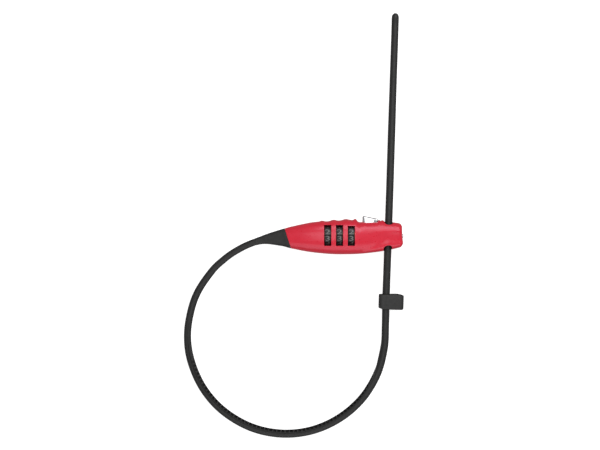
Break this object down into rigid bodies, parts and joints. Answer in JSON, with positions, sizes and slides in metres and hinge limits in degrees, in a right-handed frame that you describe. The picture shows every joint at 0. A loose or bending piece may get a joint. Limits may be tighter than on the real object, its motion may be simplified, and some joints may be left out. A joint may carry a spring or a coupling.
{
  "type": "cable luggage lock",
  "caption": "Combination luggage lock: a slim moulded head with number dials and a release button, and a toothed cable that loops round and is held by a ratchet.",
  "frame": {"origin": "on the flat back face, below the middle of the head's box", "axes": "+X from the boot to the reset pin along the dial axis, +Y towards the release button and the free tail, +Z out of the dials"},
  "size_m": [0.1293, 0.2498, 0.0153],
  "materials": {
    "red_shell": "red moulded ABS, semi-gloss",
    "black_rubber": "matte black rubber",
    "cable_black": "black moulded nylon jacket, satin",
    "black_dial": "black moulded plastic with pale digits",
    "chrome": "bright plated",
    "steel": "pressed steel",
    "screw_steel": "zinc plated screws",
    "spring_steel": "drawn spring wire",
    "zinc": "zinc die casting",
    "brass": "turned brass"
  },
  "bodies": {
    "head": {"front_shell": "red_shell", "rear_shell": "red_shell", "strain_relief_boot": "black_rubber", "cable": "cable_black", "cable_tip": "cable_black", "bearing_plate_left": "zinc", "bearing_plate_right": "zinc", "detent_leaf": "spring_steel", "spindle_spring": "spring_steel", "button_spring": "spring_steel", "reset_spring": "spring_steel", "pawl_spring": "spring_steel", "pawl_pin": "steel", "cable_guide": "steel", "cable_ferrule": "zinc", "anchor_block": "zinc", "case_screw_1": "screw_steel", "case_screw_2": "screw_steel", "case_screw_3": "screw_steel", "case_screw_4": "screw_steel"},
    "dial_1": {"dial_wheel_1": "black_dial", "dial_hub_1": "brass"},
    "dial_2": {"dial_wheel_2": "black_dial", "dial_hub_2": "brass"},
    "dial_3": {"dial_wheel_3": "black_dial", "dial_hub_3": "brass"},
    "button": {"release_button": "chrome", "button_stem": "steel"},
    "pawl": {"ratchet_pawl": "steel"},
    "spindle": {"lock_spindle": "steel"},
    "reset": {"code_reset_pin": "steel", "reset_link": "steel"},
    "keeper": {"cable_keeper": "black_rubber"}
  },
  "joints": [
    {"name": "dial_1_turn", "type": "hinge", "parent": "head", "child": "dial_1", "pos_m": [-0.00133, 0, 0.0081], "axis": [1, 0, 0], "continuous": true},
    {"name": "dial_2_turn", "type": "hinge", "parent": "head", "child": "dial_2", "pos_m": [0.0056, 0, 0.0081], "axis": [1, 0, 0], "continuous": true},
    {"name": "dial_3_turn", "type": "hinge", "parent": "head", "child": "dial_3", "pos_m": [0.01253, 0, 0.0081], "axis": [1, 0, 0], "continuous": true},
    {"name": "button_press", "type": "slide", "parent": "head", "child": "button", "axis": [0, -1, 0], "range_m": [0, 0.0016], "stiffness_N_per_m": 600, "springref_m": -0.001, "deforming": ["button_spring"]},
    {"name": "pawl_lift", "type": "hinge", "parent": "head", "child": "pawl", "pos_m": [0.0286, -0.0053, 0.0064], "axis": [0, 0, 1], "range_deg": [0, 18], "deforming": ["pawl_spring"]},
    {"name": "spindle_shift", "type": "slide", "parent": "head", "child": "spindle", "axis": [-1, 0, 0], "range_m": [0, 0.001], "deforming": ["spindle_spring"]},
    {"name": "reset_push", "type": "slide", "parent": "head", "child": "reset", "axis": [-1, 0, 0], "range_m": [0, 0.0006], "stiffness_N_per_m": 300, "springref_m": -0.001, "deforming": ["reset_spring"]},
    {"name": "keeper_slide", "type": "slide", "parent": "head", "child": "keeper", "axis": [0.0262, 0.997, 0.0733], "range_m": [-0.008, 0.014]}
  ],
  "couplings": [
    {"joint": "pawl_lift", "follows": "button_press", "rad_per_m": 193.75},
    {"joint": "spindle_shift", "follows": "button_press", "ratio": 0.6}
  ]
}
